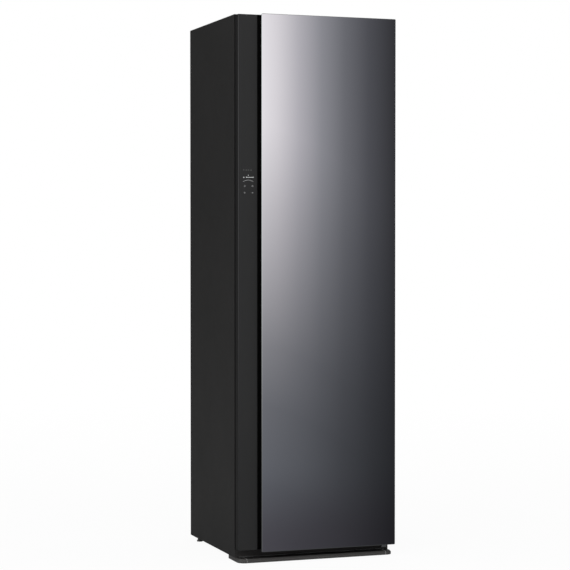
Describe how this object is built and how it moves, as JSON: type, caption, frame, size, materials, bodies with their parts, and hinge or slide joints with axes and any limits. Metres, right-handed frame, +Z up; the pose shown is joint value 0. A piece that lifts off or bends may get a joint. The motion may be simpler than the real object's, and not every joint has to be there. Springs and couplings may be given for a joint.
{
  "type": "clothes care steam cabinet",
  "caption": "Tall free-standing steam cabinet for clothes: full-height mirror door hinged on the right, recessed side grip, chamber with a hanger rail, and a machine room below.",
  "frame": {"origin": "on the floor, under the middle of the cabinet's width and overall depth", "axes": "+Z up, the door and mirror face -Y, +X to the right of someone facing the mirror"},
  "size_m": [0.595, 0.62, 1.96],
  "materials": {
    "case_paint": "satin powder coat",
    "zinc_steel": "bare zinc-coated sheet",
    "frame_paint": "satin",
    "screw_steel": "zinc",
    "cover_plastic": "satin moulded",
    "liner_plastic": "fine satin moulded",
    "floor_plastic": "fine grain",
    "foam": "bead foam board",
    "light_cover": "opal",
    "rail_metal": "satin",
    "moulding": "moulded",
    "belt_rubber": "matt",
    "motor_metal": "cast and turned",
    "fin_aluminium": "thin fins",
    "compressor_paint": "semi-gloss",
    "copper": "drawn copper",
    "shelf_plastic": "satin",
    "tank_plastic": "smoked, translucent",
    "door_paint": "satin",
    "grip_black": "deep black",
    "strip_gloss": "smooth dark",
    "mirror": "silvered tinted glass",
    "gasket": "soft",
    "press_plastic": "satin"
  },
  "bodies": {
    "case": {"side_panel_left": "case_paint", "side_panel_right": "case_paint", "top_cover": "case_paint", "back_panel": "zinc_steel", "base_tray": "zinc_steel", "front_frame": "frame_paint", "kick_plate": "case_paint", "foot_cover_bar": "cover_plastic", "foot_cover_caps": "cover_plastic", "levelling_feet": "cover_plastic", "cord_gland": "cover_plastic", "liner_left": "liner_plastic", "liner_right": "liner_plastic", "liner_back": "liner_plastic", "chamber_ceiling": "liner_plastic", "chamber_floor": "floor_plastic", "insulation": "foam", "chamber_light": "light_cover", "steam_nozzle": "rail_metal", "outlet_grille": "floor_plastic", "guide_rods": "screw_steel", "drive_frame": "zinc_steel", "drive_motor": "motor_metal", "drive_belt": "belt_rubber", "tank_bay": "floor_plastic", "duct_tray": "floor_plastic", "evaporator": "fin_aluminium", "condenser": "fin_aluminium", "blower_housing": "floor_plastic", "blower_motor": "motor_metal", "compressor": "compressor_paint", "compressor_mounts": "belt_rubber", "refrigerant_pipes": "copper", "steam_generator": "moulding", "steam_hose": "belt_rubber", "water_pumps": "motor_metal", "control_box": "motor_metal", "hinge_brackets": "zinc_steel"},
    "hanger": {"hanger_rail": "rail_metal", "hanger_carriage": "moulding"},
    "crank": {"crank_pulley": "moulding"},
    "motor_rotor": {"motor_pulley": "moulding"},
    "blower": {"blower_wheel": "moulding"},
    "shelf": {"shelf": "shelf_plastic"},
    "lint_filter": {"lint_filter": "floor_plastic"},
    "aroma_cassette": {"aroma_cassette": "floor_plastic"},
    "supply_tank": {"supply_tank": "tank_plastic"},
    "drain_tank": {"drain_tank": "tank_plastic"},
    "door": {"door_shell": "door_paint", "grip_channel": "grip_black", "control_strip": "strip_gloss", "display_module": "strip_gloss", "mirror_carrier": "grip_black", "mirror_glass": "mirror", "door_liner": "liner_plastic", "press_brackets": "liner_plastic", "door_gasket": "gasket", "hinge_bushes": "moulding"},
    "press": {"press_plate": "press_plastic"},
    "press_latch": {"press_latch": "press_plastic"}
  },
  "joints": [
    {"name": "door_hinge", "type": "hinge", "parent": "case", "child": "door", "pos_m": [0.2795, -0.27, 1], "axis": [0, 0, 1], "range_deg": [0, 115]},
    {"name": "press_hinge", "type": "hinge", "parent": "door", "child": "press", "pos_m": [0.15, -0.216, 1.275], "axis": [0, 0, -1], "range_deg": [0, 90]},
    {"name": "press_latch_turn", "type": "hinge", "parent": "door", "child": "press_latch", "pos_m": [-0.126, -0.2105, 1.275], "axis": [0, 1, 0], "range_deg": [0, 90]},
    {"name": "hanger_slide", "type": "slide", "parent": "case", "child": "hanger", "axis": [1, 0, 0], "range_m": [-0.02, 0.02]},
    {"name": "crank_spin", "type": "hinge", "parent": "case", "child": "crank", "pos_m": [0, 0.0042, 1.888], "axis": [0, 0, 1], "continuous": true},
    {"name": "motor_spin", "type": "hinge", "parent": "case", "child": "motor_rotor", "pos_m": [0, 0.0862, 1.888], "axis": [0, 0, 1], "continuous": true},
    {"name": "blower_spin", "type": "hinge", "parent": "case", "child": "blower", "pos_m": [0.02, 0.145, 0.375], "axis": [0, 1, 0], "continuous": true},
    {"name": "shelf_lift", "type": "slide", "parent": "case", "child": "shelf", "axis": [0, 0, 1], "range_m": [0, 0.03]},
    {"name": "lint_filter_lift", "type": "slide", "parent": "case", "child": "lint_filter", "axis": [0, 0, 1], "range_m": [0, 0.16]},
    {"name": "aroma_cassette_lift", "type": "slide", "parent": "case", "child": "aroma_cassette", "axis": [0, 0, 1], "range_m": [0, 0.05]},
    {"name": "supply_tank_pull", "type": "slide", "parent": "case", "child": "supply_tank", "axis": [0, -1, 0], "range_m": [0, 0.03]},
    {"name": "drain_tank_pull", "type": "slide", "parent": "case", "child": "drain_tank", "axis": [0, -1, 0], "range_m": [0, 0.03]}
  ],
  "couplings": [
    {"joint": "motor_spin", "follows": "crank_spin", "ratio": 3.2222}
  ]
}
